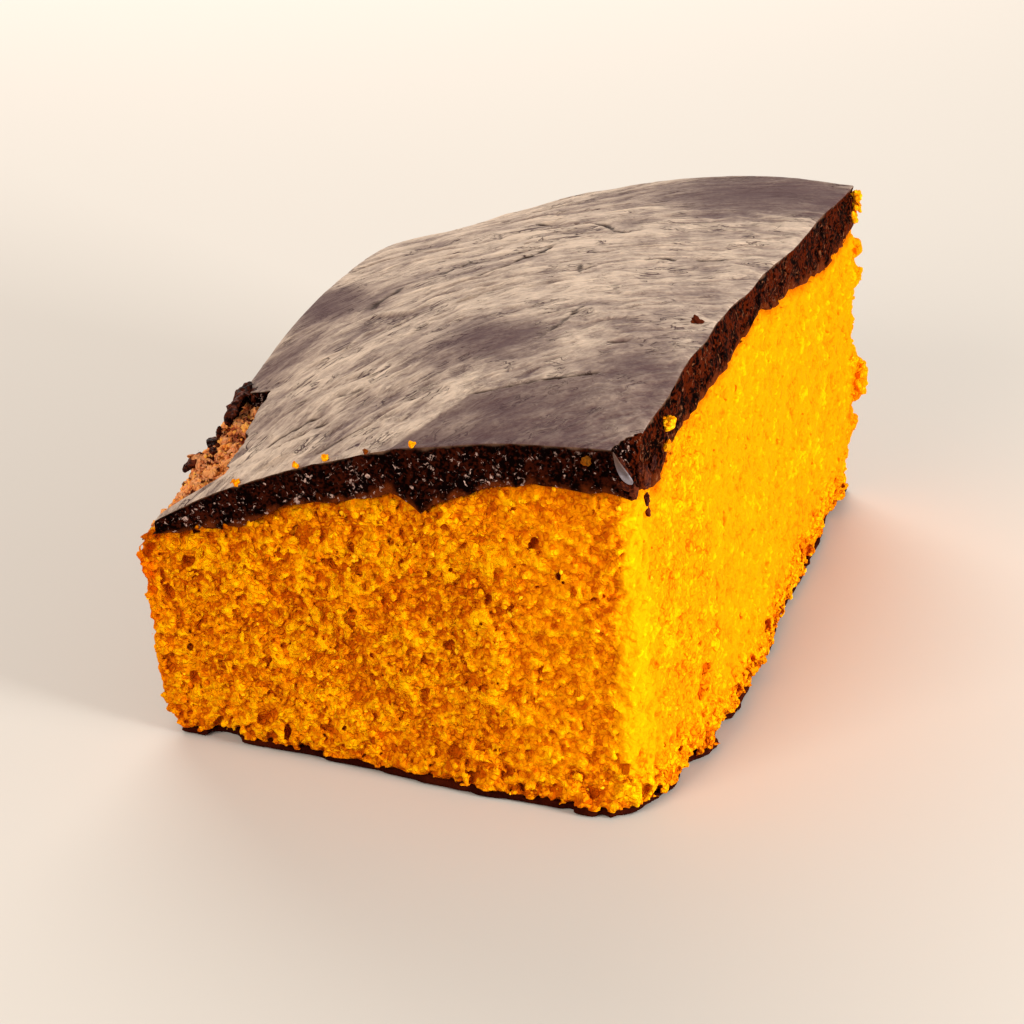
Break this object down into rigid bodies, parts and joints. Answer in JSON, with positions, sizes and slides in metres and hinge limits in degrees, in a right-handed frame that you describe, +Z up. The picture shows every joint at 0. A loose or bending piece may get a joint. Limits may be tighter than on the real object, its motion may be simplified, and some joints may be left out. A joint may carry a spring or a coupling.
{
  "type": "carrot cake piece",
  "caption": "Hand-cut piece of tray-baked carrot cake with a domed, set chocolate glaze over yellow-orange crumb, browned on its tin side and base.",
  "frame": {"origin": "on the table under the middle of the piece", "axes": "+Z up; +Y from the front cut towards the back cut; +X from the side that stood against the tin towards the right cut"},
  "size_m": [0.0682, 0.0982, 0.0494],
  "materials": {
    "crumb": "open, grainy yellow-orange cake crumb, matte",
    "crust": "thin browned crust where the cake met the tin, matte",
    "glaze": "set chocolate glaze, satin wrinkled skin on top, moist and pitted where cut"
  },
  "bodies": {
    "root": {"carrot_crumb": "crumb", "chocolate_glaze": "glaze"}
  },
  "joints": []
}
